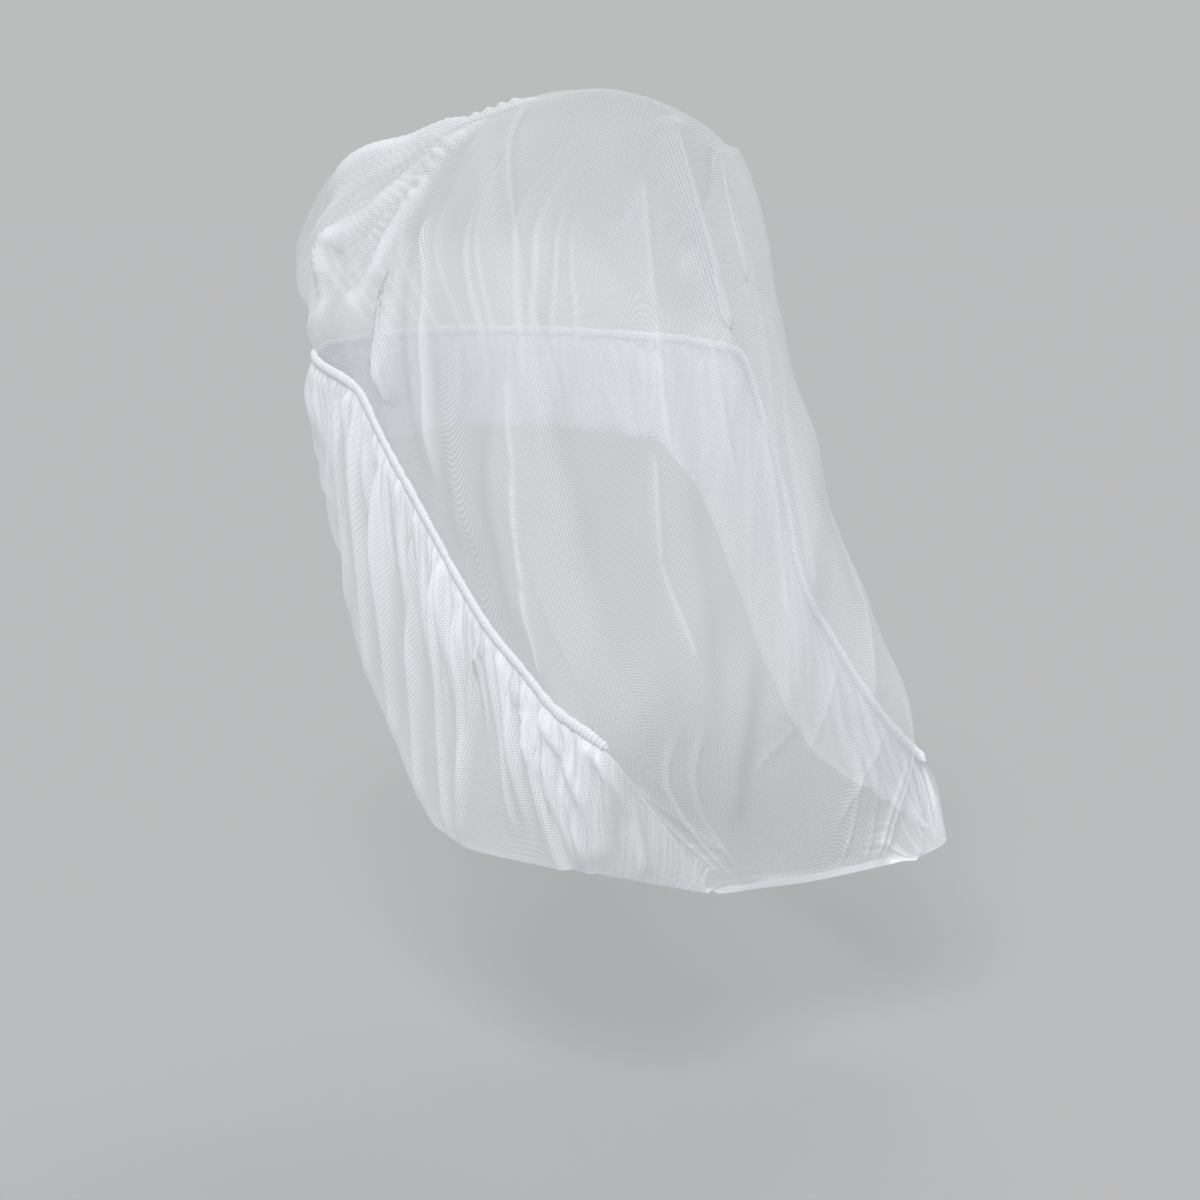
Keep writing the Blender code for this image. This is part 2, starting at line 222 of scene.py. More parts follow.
# Wide pleats where the net really lies over itself in three layers: from station and guide to station and
# guide, with the width of the overlap where it starts and where it ends.
PLEATS = (
    (4.20, 5.46, 2.90, 5.42, 0.007, 0.022),
    (4.00, 5.82, 3.10, 5.70, 0.007, 0.016),
    (5.45, 3.25, 6.20, 2.15, 0.007, 0.014),
    (5.20, 6.30, 5.00, 7.80, 0.007, 0.013),
    (5.40, 6.00, 7.60, 6.80, 0.007, 0.014),
    (3.60, 6.60, 2.60, 7.70, 0.007, 0.012),
)

# Narrow folded-over bands. Each has the half width where it starts and where it ends, the layers that it
# adds, the height that it stands out, and the stations and guides that it runs through. On the hanging rim,
# they and the gathers take the place of the soft folds that the solids have there.
BANDS = (
    (0.0022, 0.0050, 1.6, 0.0040, ((5.12, 3.40), (4.60, 3.10), (4.30, 2.70), (4.70, 2.05))),
    (0.0030, 0.0085, 1.5, 0.0060, ((5.31, 3.25), (5.40, 3.00), (5.57, 2.67), (6.20, 2.17))),
    (0.0090, 0.0130, 3.0, 0.0060, ((5.45, 3.60), (5.75, 3.25), (5.88, 3.04), (6.38, 2.75), (7.19, 2.42))),
    (0.0060, 0.0140, 3.4, 0.0050, ((6.60, 3.25), (7.10, 2.80), (7.44, 2.55), (8.00, 2.50), (9.10, 2.42))),
    (0.0060, 0.0110, 1.6, 0.0060, ((5.12, 4.61), (5.56, 4.18), (6.10, 3.95), (6.56, 3.75), (7.06, 3.43))),
    (0.0030, 0.0070, 1.4, 0.0060, ((2.75, 0.06), (3.20, 0.30), (4.00, 0.75))),
    (0.0025, 0.0060, 1.6, 0.0050, ((2.71, 0.06), (2.66, 0.35), (2.62, 0.75))),
    (0.0030, 0.0080, 1.8, 0.0070, ((2.50, 0.06), (1.95, 0.44), (1.60, 0.90))),
    (0.0025, 0.0070, 1.6, 0.0060, ((2.38, 0.06), (1.75, 0.44), (1.40, 0.80))),
    (0.0030, 0.0080, 2.0, 0.0070, ((2.08, 0.04), (1.45, 0.35), (1.20, 0.80))),
    (0.0030, 0.0070, 1.6, 0.0050, ((1.50, 0.04), (0.75, 0.26), (0.60, 0.80))),
    (0.0035, 0.0100, 1.6, 0.0080, ((3.40, 0.06), (3.70, 0.50), (4.30, 0.95))),
    (0.0030, 0.0090, 1.8, 0.0080, ((4.30, 0.06), (4.50, 0.50), (4.60, 0.95))),
    (0.0040, 0.0100, 1.5, 0.0090, ((5.00, 0.06), (5.30, 0.50), (5.40, 0.95))),
    (0.0040, 0.0110, 1.7, 0.0090, ((5.90, 0.06), (5.95, 0.50), (6.10, 0.95))),
    (0.0040, 0.0100, 1.5, 0.0080, ((6.80, 0.06), (6.60, 0.50), (6.60, 0.95))),
    (0.0040, 0.0090, 1.4, 0.0070, ((7.60, 0.06), (7.50, 0.50), (7.30, 0.95))),
)

# The net fans out in pleats from the brow to where the edge draws it in behind. Four lines of that fan,
# from the one beside the front to the one along the top, in stations and near guides.
FAN = (
    ((5.20, 4.30), (5.45, 3.60), (5.75, 3.25), (5.88, 3.04), (6.38, 2.75), (7.19, 2.42), (8.00, 2.25)),
    ((5.10, 3.95), (5.75, 3.46), (6.30, 3.15), (6.75, 2.90), (7.12, 2.67), (7.90, 2.40), (8.60, 2.25)),
    ((5.30, 4.15), (5.56, 3.89), (6.00, 3.60), (6.56, 3.32), (7.06, 3.00), (7.50, 2.80), (8.20, 2.60)),
    ((5.12, 4.61), (5.56, 4.18), (6.10, 3.95), (6.56, 3.75), (7.06, 3.43), (7.38, 3.21), (8.30, 2.85)),
)
NEAR_FAN_PLEATS, FAR_FAN_PLEATS, BACK_PLEATS = 17, 12, 12

# Pinched creases that show as fine white lines: from and to, and how many layers they add.
CREASES = (
    (2.80, 3.62, 2.47, 3.38, 0.7),
    (2.47, 3.38, 2.12, 2.75, 1.1),
    (2.12, 2.75, 2.15, 2.10, 1.3),
    (3.60, 5.14, 3.06, 4.95, 0.6),
    (3.06, 4.95, 2.50, 4.80, 0.7),
    (2.45, 4.70, 1.95, 4.55, 0.8),
    (1.95, 4.55, 1.45, 4.58, 0.8),
    (4.75, 4.40, 4.05, 4.32, 0.5),
    (4.05, 4.32, 3.20, 4.12, 0.6),
    (3.20, 4.12, 2.60, 4.15, 0.4),
    (2.96, 5.30, 2.30, 5.20, 0.5),
    (2.60, 5.55, 1.60, 5.35, 0.6),
    (1.10, 5.39, 0.80, 4.94, 1.0),
    (1.30, 5.69, 0.85, 5.42, 1.0),
    (0.90, 6.20, 0.35, 5.90, 0.6),
    (1.90, 6.30, 1.10, 6.00, 0.7),
    (2.40, 6.60, 1.30, 6.70, 0.8),
    (5.30, 4.90, 7.60, 4.60, 0.5),
    (5.30, 5.40, 7.40, 5.40, 0.4),
    (0.75, 3.40, 0.25, 4.20, 0.6),
)

CLOTH_SEED = 11
# The station on both sides where the gathered edge starts.
GATHER_START = 1.15
HEM_DEPTH = 0.008
BARE_EDGE = 0.0035
CREASE_HALF_WIDTH = 0.0022
STREAK_WIDTH, STREAK_LENGTH = 0.006, 0.10


def guide_points():
    """The held points by guide and station, with each bottom fold split into its two edges."""
    near = [np.array(NEAR[name]) for name in NEAR]
    far = []
    for name, points in NEAR.items():
        side = np.array(points) * (-1, 1, 1)
        for station, point in FAR_CHANGES[name].items():
            side[STATIONS.index(station)] = point
        far.append(side)
    points = np.array(near + [np.array(MIDDLE)] + far[::-1])
    for fold in (FAR_FOLD, NEAR_FOLD):
        points = split_fold(points, fold)
    return split_fold(points.swapaxes(0, 1), BACK_FOLD).swapaxes(0, 1)


def split_fold(rows, fold):
    apart = rows[fold + 1] - rows[fold - 1]
    apart[:, 2] = 0
    apart *= TURN_WIDTH / 2 / np.linalg.norm(apart, axis=1, keepdims=True)
    return np.concatenate([rows[:fold], [rows[fold] - apart, rows[fold] + apart], rows[fold + 1:]])


def places_of(count, folds):
    places = [place for place in range(count) if place not in folds]
    places += [fold + side * TURN_SHARE for fold in folds for side in (-1, 1)]
    return np.array(sorted(places), dtype=float)


def spline(points, knots, at):
    """Points on a smooth curve through the given points, which never swings past one of them."""
    steps = np.diff(knots)[:, None]
    slopes = np.diff(points, axis=0) / steps
    before, after = slopes[:-1], slopes[1:]
    same_way = before * after > 0
    lead, lag = 2 * steps[1:] + steps[:-1], steps[1:] + 2 * steps[:-1]
    tangents = np.zeros_like(points)
    tangents[0] = slopes[0]
    tangents[-1] = slopes[-1]
    inner = np.zeros_like(before)
    shared = lead / np.where(same_way, before, 1) + lag / np.where(same_way, after, 1)
    inner[same_way] = ((lead + lag) / shared)[same_way]
    tangents[1:-1] = inner
    span = np.clip(np.searchsorted(knots, at, side="right") - 1, 0, len(steps) - 1)
    step = steps[span]
    u = ((at - knots[span]) / step[:, 0])[:, None]
    start, end = points[span], points[span + 1]
    leave, arrive = tangents[span] * step, tangents[span + 1] * step
    return (
        start * (2 * u**3 - 3 * u**2 + 1)
        + leave * (u**3 - 2 * u**2 + u)
        + end * (3 * u**2 - 2 * u**3)
        + arrive * (u**3 - u**2)
    )


GUIDES = guide_points()
GUIDE_PLACES = places_of(LAST_GUIDE + 1, (NEAR_FOLD, FAR_FOLD))
STATION_PLACES = places_of(LAST_STATION + 1, (BACK_FOLD,))


def surface(stations, across):
    """Points of the smooth sheet, by station and place across."""
    by_station = GUIDES.swapaxes(0, 1).reshape(len(STATION_PLACES), -1)
    held_rows = spline(by_station, STATION_PLACES, np.asarray(stations)).reshape(len(stations), -1, 3)
    grid = np.empty((len(stations), len(across), 3))
    for row, held in zip(grid, held_rows):
        lengths = np.sqrt(np.linalg.norm(np.diff(held, axis=0), axis=1)) + 0.02
        knots = np.concatenate([[0], np.cumsum(lengths)])
        row[:] = spline(held, knots, np.interp(across, GUIDE_PLACES, knots))
    return grid


def smooth_step(value):
    value = np.clip(value, 0, 1)
    return value * value * (3 - 2 * value)


def unit(vectors):
    return vectors / np.maximum(np.linalg.norm(vectors, axis=-1, keepdims=True), 1e-9)


def raw_normals(stations, across):
    """Normals of the smooth sheet that point away from the room inside, also on the hanging rim."""
    step = 0.02
    low_row = np.clip(stations - step, 0, LAST_STATION)
    high_row = np.clip(stations + step, 0, LAST_STATION)
    low_place = np.clip(across - step, 0, LAST_GUIDE)
    high_place = np.clip(across + step, 0, LAST_GUIDE)
    along = surface(high_row, across) - surface(low_row, across)
    over = surface(stations, high_place) - surface(stations, low_place)
    turned = ((across < NEAR_FOLD) | (across > FAR_FOLD))[None] | (stations > BACK_FOLD)[:, None]
    return unit(np.cross(over, along)) * np.where(turned, -1.0, 1.0)[..., None]


def beside_fold(places, folds):
    """The places just before and after each fold, and how far each place is from one to the other."""
    before, after, share = places.copy(), places.copy(), np.zeros_like(places)
    for fold in folds:
        near = np.abs(places - fold) < TURN_BLEND
        before[near] = fold - TURN_BLEND
        after[near] = fold + TURN_BLEND
        share[near] = smooth_step((places[near] - fold) / TURN_BLEND / 2 + 0.5)
    return before, after, share


def outward(stations, across):
    """Directions away from the room inside, which turn smoothly from one side of a fold to the other."""
    row_ends = beside_fold(stations, (BACK_FOLD,))
    place_ends = beside_fold(across, (NEAR_FOLD, FAR_FOLD))
    mixed = 0
    for rows, row_share in ((row_ends[0], 1 - row_ends[2]), (row_ends[1], row_ends[2])):
        for places, place_share in ((place_ends[0], 1 - place_ends[2]), (place_ends[1], place_ends[2])):
            share = row_share[:, None] * place_share[None]
            mixed = mixed + raw_normals(rows, places) * share[..., None]
    return unit(mixed)


def line_through(stops, steps=36):
    """Evenly spaced points of the smooth sheet along a line through stations and guides."""
    stops = np.array(stops)
    spots = np.linspace(0, 1, steps)
    held = np.linspace(0, 1, len(stops))
    rows, across = np.interp(spots, held, stops[:, 0]), np.interp(spots, held, stops[:, 1])
    return np.array([surface(rows[k : k + 1], across[k : k + 1])[0, 0] for k in range(steps)])


def beside(patch, stops, reach):
    """The points of a patch near a line, with how far each is off to the side, past the ends and along."""
    line = line_through(stops)
    low, high = line.min(axis=0) - reach, line.max(axis=0) + reach
    chosen = np.flatnonzero(((patch.base > low) & (patch.base < high)).all(axis=1))
    spots = patch.base[chosen]
    best = np.full(len(spots), np.inf)
    along = np.zeros(len(spots))
    offset = np.zeros_like(spots)
    runs = np.ones_like(spots)
    for k, (start, end) in enumerate(zip(line[:-1], line[1:])):
        run = end - start
        part = np.clip(((spots - start) @ run) / (run @ run), 0, 1)
        away = spots - start - part[:, None] * run
        gap = np.linalg.norm(away, axis=1)
        closer = gap < best
        best[closer] = gap[closer]
        along[closer] = ((k + part) / (len(line) - 1))[closer]
        offset[closer] = away[closer]
        runs[closer] = run
    way = unit(np.cross(patch.out[chosen], runs))
    side = np.sum(offset * way, axis=1)
    past = np.sqrt(np.maximum(best**2 - side**2, 0))
    return chosen, side, past, along, way


class Patch:
    """A rectangle of the sheet, in stations and places across, with its points and what is known of each."""

    def __init__(self, stations, across):
        self.stations, self.across = stations, across
        self.shape = (len(stations), len(across))
        self.base = surface(stations, across).reshape(-1, 3)
        self.out = outward(stations, across).reshape(-1, 3)
        self.points = self.base.copy()
        self.layers = np.ones(len(self.base))
        self.row = np.repeat(stations, len(across))
        self.place = np.tile(across, len(stations))
        self.cloth = self.flat_places()

    def flat_places(self):
        """Lengths along the cloth from the brow and from the middle, in metres."""
        grid = self.base.reshape(*self.shape, 3)
        along = np.zeros(self.shape)
        along[1:] = np.cumsum(np.linalg.norm(np.diff(grid, axis=0), axis=2), axis=0)
        over = np.zeros(self.shape)
        over[:, 1:] = np.cumsum(np.linalg.norm(np.diff(grid, axis=1), axis=2), axis=1)
        brow = np.abs(self.stations - BROW).argmin()
        middle = np.abs(self.across - MID_GUIDE).argmin()
        over = over - over[:, middle : middle + 1]
        along = along - along[brow : brow + 1]
        return np.stack([over.ravel(), along.ravel()], axis=1)


def places(*runs):
    """Evenly spaced places in each run of (start, end, count), and the last end."""
    spaced = [np.linspace(start, end, count, endpoint=False) for start, end, count in runs]
    return np.concatenate(spaced + [[runs[-1][1]]])


def cut_patches():
    """The inner layer in one patch and the hanging rim in five, with close lines across the folds."""
    front_rows = ((0, 0.05, 5), (0.05, 1, 22), (1, 3, 44), (3, 4, 18), (4, 5.2, 16))
    body_rows = places(*front_rows, (5.2, 9, 52), (9, 10, 12))
    body_places = places((1, 2, 26), (2, 3, 44), (3, 7, 260), (7, 8, 44), (8, 9, 26))
    rim_places = places((0, 0.06, 4), (0.06, 0.9, 22), (0.9, 1, 4))
    side_rows = places((0, 10, 420))
    back_rows = places((10, 10.1, 3), (10.1, 11, 14))
    back_places = places((1, 9, 240))
    return [
        Patch(body_rows, body_places),
        Patch(side_rows, rim_places),
        Patch(side_rows, LAST_GUIDE - rim_places[::-1]),
        Patch(back_rows, back_places),
        Patch(back_rows, rim_places),
        Patch(back_rows, LAST_GUIDE - rim_places[::-1]),
    ]


def add_soft_folds(patch):
    from_turn = np.minimum(np.abs(patch.place - NEAR_FOLD), np.abs(patch.place - FAR_FOLD))
    clear = smooth_step(from_turn / 0.35) * smooth_step(np.abs(patch.row - BACK_FOLD) / 0.35)
    inner = (patch.place > NEAR_FOLD) & (patch.place < FAR_FOLD) & (patch.row < BACK_FOLD)
    for row_a, place_a, row_b, place_b, half_width, height in SOFT_FOLDS:
        chosen, side, past, along, _ = beside(patch, ((row_a, place_a), (row_b, place_b)), 3 * half_width)
        ends = smooth_step(along / 0.2) * smooth_step((1 - along) / 0.2)
        lift = height * np.exp(-((side**2 + past**2) / half_width**2)) * ends
        patch.points[chosen] += patch.out[chosen] * (lift * (clear * inner)[chosen])[:, None]


def add_pleats(patch):
    """Each pleat draws the cloth beside its line over itself, with the upper layer a little proud."""
    for row_a, place_a, row_b, place_b, start_width, end_width in PLEATS:
        chosen, side, past, along, way = beside(patch, ((row_a, place_a), (row_b, place_b)), 4 * end_width)
        overlap = start_width + (end_width - start_width) * along
        ends = smooth_step(along / 0.3) * smooth_step((1 - along) / 0.06) * np.exp(-((past / 0.012) ** 2))
        share = side / overlap
        pull = -2.6 * side / (1 + share**2) ** 1.5 * np.exp(-((share / 3.5) ** 2)) * ends
        upper = 0.5 + 0.5 * np.tanh(2.5 * share)
        rise = (0.004 + 0.14 * overlap) * upper * np.exp(-((share / 2.2) ** 2)) * ends
        patch.points[chosen] += way * pull[:, None] + patch.out[chosen] * rise[:, None]


def add_band(patch, start_width, end_width, strength, height, stops):
    """A folded-over band has one crisp edge and one that runs out softly."""
    if not same_side(patch, stops):
        return
    chosen, side, past, along, _ = beside(patch, stops, 4 * end_width)
    share = side / (start_width + (end_width - start_width) * along)
    ends = smooth_step(along / 0.10 + 0.1) * smooth_step((1 - along) / 0.25) * np.exp(-((past / 0.006) ** 2))
    across = smooth_step((share + 1.2) / 0.5) * np.exp(-(np.maximum(share + 0.4, 0) ** 2) / 1.1)
    patch.layers[chosen] += strength * across * ends
    patch.points[chosen] += patch.out[chosen] * (height * np.exp(-(share**2)) * ends)[:, None]


def same_side(patch, stops):
    """Whether a band on the hanging rim belongs to this patch, or one on the inner layer does."""
    rim_band = stops[0][1] < NEAR_FOLD or stops[0][1] > FAR_FOLD
    rim_patch = patch.across[0] < NEAR_FOLD or patch.across[-1] > FAR_FOLD
    return rim_band == rim_patch and patch.stations[0] < BACK_FOLD


def fan_bands(random, count, near):
    """Uneven pleats between the lines of the fan, on the near side or mirrored on the far one."""
    lines = np.array(FAN)
    bands = []
    for k in range(count):
        share = min(max((k + random.uniform(-0.4, 0.4)) / (count - 1), 0), 1) * (len(lines) - 1)
        first = min(int(share), len(lines) - 2)
        line = lines[first] + (lines[first + 1] - lines[first]) * (share - first)
        if not near:
            line = line * (1, -1) + (0, LAST_GUIDE)
        size = random.uniform(0.25, 1.0) ** 1.5
        stops = line[random.integers(0, 2) : len(line) - random.integers(0, 3)]
        widths = (0.002 + 0.002 * size, 0.003 + 0.008 * size)
        bands.append((*widths, 0.5 + 1.5 * size, 0.002 + 0.005 * size, stops))
    return bands


def back_bands(random, count):
    """Pleats that hang from the crown to where the edge is drawn in at the back."""
    bands = []
    for k in range(count):
        foot = 3.2 + 3.6 * (k + random.uniform(0.2, 0.8)) / count
        head = MID_GUIDE + (foot - MID_GUIDE) * 0.6 + random.uniform(-0.15, 0.15)
        stops = ((random.uniform(6.2, 7.4), head), (8.0, (head + foot) / 2), (9.2, foot))
        size = random.uniform(0.2, 1.0)
        bands.append((0.002, 0.003 + 0.006 * size, 0.4 + 0.9 * size, 0.002 + 0.004 * size, stops))
    return bands


def hem_bands(random):
    """Short pleats that open from the drawn-in corners of the front hem."""
    near_starts = ((3.1, 0.5), (3.5, 0.8), (4.0, 0.5))
    far_starts = ((6.3, -0.5), (6.8, -0.9), (7.2, -0.6), (7.6, -0.4))
    bands = []
    for guide, lean in near_starts + far_starts:
        reach = random.uniform(0.7, 1.3)
        stops = ((0.08, guide), (reach, guide + lean * reach))
        bands.append((0.002, 0.005, random.uniform(0.6, 1.2), 0.003, stops))
    return bands


def add_creases(patch):
    for row_a, place_a, row_b, place_b, strength in CREASES:
        stops = ((row_a, place_a), (row_b, place_b))
        if not same_side(patch, stops):
            continue
        chosen, side, past, along, _ = beside(patch, stops, 0.02)
        ends = smooth_step(along / 0.15 + 0.2) * smooth_step((1 - along) / 0.15 + 0.2)
        gap = side**2 + past**2
        patch.layers[chosen] += 1.3 * strength * np.exp(-gap / CREASE_HALF_WIDTH**2) * ends
        patch.points[chosen] += patch.out[chosen] * (0.0018 * np.exp(-gap / 0.005**2) * ends)[:, None]


class Rim:
    """The gathered edge from the near front round the back to the far front, measured along its length."""

    def __init__(self):
        rows, across = places((0, LAST_STATION, 440)), places((0, LAST_GUIDE, 400))
        near = surface(rows, np.array([0.0]))[:, 0]
        back = surface(np.array([float(LAST_STATION)]), across)[0]
        far = surface(rows, np.array([float(LAST_GUIDE)]))[:, 0]
        self.rows, self.across = rows, across
        self.near = self.measure(near, 0.0)
        self.back = self.measure(back, self.near[-1])
        self.far = self.measure(far[::-1], self.back[-1])[::-1]
        self.length = self.far[0]

    @staticmethod
    def measure(points, start):
        return start + np.concatenate([[0], np.cumsum(np.linalg.norm(np.diff(points, axis=0), axis=1))])

    def on_near(self, rows):
        return np.interp(rows, self.rows, self.near)

    def on_back(self, across):
        return np.interp(across, self.across, self.back)

    def on_far(self, rows):
        return np.interp(rows, self.rows, self.far)


def gather_places(patch, rim):
    """For each point, the place along the rim that its gathers come from, and how far it is from the rim.
    There is a pair for each stretch of the rim that reaches the patch."""
    grid = patch.base.reshape(*patch.shape, 3)
    rows, across = patch.stations, patch.across
    pairs = []
    side = rows[0] < BACK_FOLD
    if side and across[0] <= NEAR_FOLD:
        pairs.append(side_pair(patch, grid, rim.on_near(patch.row), 0, NEAR_FOLD))
    if side and across[-1] >= FAR_FOLD:
        pairs.append(side_pair(patch, grid, rim.on_far(patch.row), LAST_GUIDE, FAR_FOLD))
    if across[0] >= NEAR_FOLD and across[-1] <= FAR_FOLD:
        pairs.append(back_pair(patch, rim))
    if not side and (across[0] < NEAR_FOLD or across[-1] > FAR_FOLD):
        pairs.append(corner_pair(patch, rim))
    return pairs


def side_pair(patch, grid, place, rim_guide, fold_guide):
    edge = surface(patch.stations, np.array([float(rim_guide)]))
    fold = surface(patch.stations, np.array([float(fold_guide)]))
    flap = np.linalg.norm(grid - edge, axis=2)
    beyond = np.linalg.norm(fold - edge, axis=2) + np.linalg.norm(grid - fold, axis=2)
    outer = (patch.across - fold_guide) * (rim_guide - fold_guide) >= 0
    return place, np.where(outer[None], flap, beyond).ravel()


def back_pair(patch, rim):
    grid = patch.base.reshape(*patch.shape, 3)
    edge = surface(np.array([float(LAST_STATION)]), patch.across)
    fold = surface(np.array([float(BACK_FOLD)]), patch.across)
    flap = np.linalg.norm(grid - edge, axis=2)
    beyond = np.linalg.norm(fold - edge, axis=2) + np.linalg.norm(grid - fold, axis=2)
    outer = (patch.stations >= BACK_FOLD)[:, None]
    return rim.on_back(patch.place), np.where(outer, flap, beyond).ravel()


def corner_pair(patch, rim):
    down = patch.row - BACK_FOLD
    near = patch.across[0] < NEAR_FOLD
    out = NEAR_FOLD - patch.place if near else patch.place - FAR_FOLD
    reach = np.maximum(np.maximum(down, out), 1e-6)
    on_side = out >= down
    side_row = BACK_FOLD + down / reach
    back_place = NEAR_FOLD - out / reach if near else FAR_FOLD + out / reach
    side_place = rim.on_near(side_row) if near else rim.on_far(side_row)
    place = np.where(on_side, side_place, rim.on_back(back_place))
    corner_row, corner_place = float(BACK_FOLD), float(NEAR_FOLD if near else FAR_FOLD)
    corner = surface(np.array([corner_row]), np.array([corner_place]))[0, 0]
    depth = np.linalg.norm(patch.base - corner, axis=1) / reach
    return place, depth * (1 - reach)


def add_gathers(patch, rim, folds):
    """Ruffles that start at the rim and grow wider and fewer as they hang down from it."""
    for place, depth in gather_places(patch, rim):
        drawn_in = smooth_step((place - rim.on_near(GATHER_START) + 0.03) / 0.06)
        drawn_in = drawn_in * smooth_step((rim.on_far(GATHER_START) - place + 0.03) / 0.06)
        # The back hangs more slackly than the sides.
        behind = smooth_step((place - rim.near[-1]) / 0.08) * smooth_step((rim.back[-1] - place) / 0.08)
        drawn_in = drawn_in * (1 - 0.5 * behind)
        lift = np.zeros(len(place))
        dense = np.zeros(len(place))
        for centre, drift, length, height, width in folds:
            spread = width + 0.045 * depth
            share = (place - centre - drift * depth) / spread
            rise = smooth_step(depth / 0.012) * smooth_step((length - depth) / (0.7 * length))
            lift += height * rise * np.exp(-(share**2))
            crisp = smooth_step((share + 1.0) / 0.45) * np.exp(-(np.maximum(share + 0.3, 0) ** 2) / 0.8)
            dense += height / 0.006 * rise * crisp
        fade = np.exp(-((depth / 0.40) ** 4))
        patch.points += patch.out * (lift * drawn_in * fade)[:, None]
        patch.layers += drawn_in * (2.2 * np.exp(-depth / 0.020) + 0.5 * np.exp(-depth / 0.10)) * fade
        patch.layers += drawn_in * 1.5 * np.minimum(dense, 1.6) * np.exp(-depth / 0.20) * fade


def gather_folds(rim):
    """Where each gather starts, how it slants, and its length, height and half width."""
    random = np.random.default_rng(CLOTH_SEED)
    folds = []
    place = 0.0
    while place < rim.length:
        size = random.uniform(0.2, 1.0)
        length = 0.05 + 0.34 * size * random.uniform(0.4, 1.0)
        drift = random.uniform(-0.22, 0.22)
        folds.append((place, drift, length, 0.002 + 0.006 * size, 0.003 + 0.004 * size))
        place += random.uniform(0.008, 0.020)
    return folds


def add_hem(patch, rim):
    """The turned front edge is denser than the net, and so is the bare edge beside the casing."""
    grid = patch.base.reshape(*patch.shape, 3)
    front = surface(np.array([0.0]), patch.across)
    from_front = np.linalg.norm(grid - front, axis=2).ravel()
    if patch.stations[0] == 0:
        patch.layers += 3.0 * smooth_step((HEM_DEPTH - from_front) / 0.0015)
        patch.layers += 1.5 * np.exp(-(((from_front - 0.0075) / 0.0012) ** 2))
    for guide in (0, LAST_GUIDE):
        if guide in (patch.across[0], patch.across[-1]):
            edge = surface(patch.stations, np.array([float(guide)]))
            gap = np.linalg.norm(grid - edge, axis=2).ravel()
            bare = smooth_step((GATHER_START - patch.row) / 0.1 + 1)
            patch.layers += 2.0 * smooth_step((BARE_EDGE - gap) / 0.0012) * bare


def add_waver(patch):
    """A slow unevenness over the whole sheet, so that no stretch of it is perfectly smooth."""
    x, y, z = patch.base.T
    wave = (
        np.sin(31 * x + 17 * z + 1.3) * np.sin(23 * z + 11 * y + 0.4)
        + 0.6 * np.sin(57 * x - 29 * z + 2.1) * np.sin(41 * y + 13 * z)
    )
    held = smooth_step(np.abs(patch.row - BROW) / 1.2)
    edges = smooth_step(patch.row / 0.3)
    patch.points += patch.out * (0.0022 * wave * held * edges)[:, None]


def sheet_from(name, patches):
    """One mesh of all the patches, with the cloth's flat places and layers kept on its points."""
    pieces = []
    for patch in patches:
        rows, columns = patch.shape
        bpy.ops.object.select_all(action="DESELECT")
        bpy.ops.mesh.primitive_grid_add(x_subdivisions=columns - 1, y_subdivisions=rows - 1, size=1)
        piece = bpy.context.object
        piece.data.vertices.foreach_set("co", patch.points.ravel())
        layers = piece.data.attributes.new("layers", "FLOAT", "POINT")
        layers.data.foreach_set("value", patch.layers)
        corners = np.empty(len(piece.data.loops), dtype=int)
        piece.data.loops.foreach_get("vertex_index", corners)
        for map_name, values in (("cloth", patch.cloth), ("gathers", patch.gathers)):
            flat = piece.data.uv_layers.get(map_name) or piece.data.uv_layers.new(name=map_name)
            flat.data.foreach_set("uv", values[corners].ravel())
        for extra in [u.name for u in piece.data.uv_layers if u.name not in ("cloth", "gathers")]:
            piece.data.uv_layers.remove(piece.data.uv_layers[extra])
        pieces.append(piece)
    bpy.ops.object.select_all(action="DESELECT")
    for piece in pieces:
        piece.select_set(True)
    bpy.context.view_layer.objects.active = pieces[0]
    bpy.ops.object.join()
    sheet = bpy.context.object
    sheet.name = name
    bpy.ops.object.mode_set(mode="EDIT")
    bpy.ops.mesh.select_all(action="SELECT")
    bpy.ops.mesh.remove_doubles(threshold=0.00002)
    bpy.ops.object.mode_set(mode="OBJECT")
    bpy.ops.object.shade_smooth()
    return sheet


def face_outward(sheet, patches):
    """Turns the whole sheet's faces round if those behind the brow point into the room."""
    body = patches[0]
    middle = np.abs(body.place - MID_GUIDE) + np.abs(body.row - BROW - 1)
    spot = body.points[middle.argmin()]
    way = body.out[middle.argmin()]
    found, _, normal, _ = sheet.closest_point_on_mesh(Vector(spot))
    if found and normal.dot(Vector(way)) < 0:
        sheet.data.flip_normals()


CASING_HALF_WIDTH = 0.0048
CASING_HALF_THICK = 0.0027
RIB_PITCH = 0.0042
CASING_STEP = 0.0009
CASING_SIDES = 12
CASING_LIFT = 0.0030
CASING_TAPER = 0.010
LUMP_STEP, LEAN_STEP = 0.006, 0.015


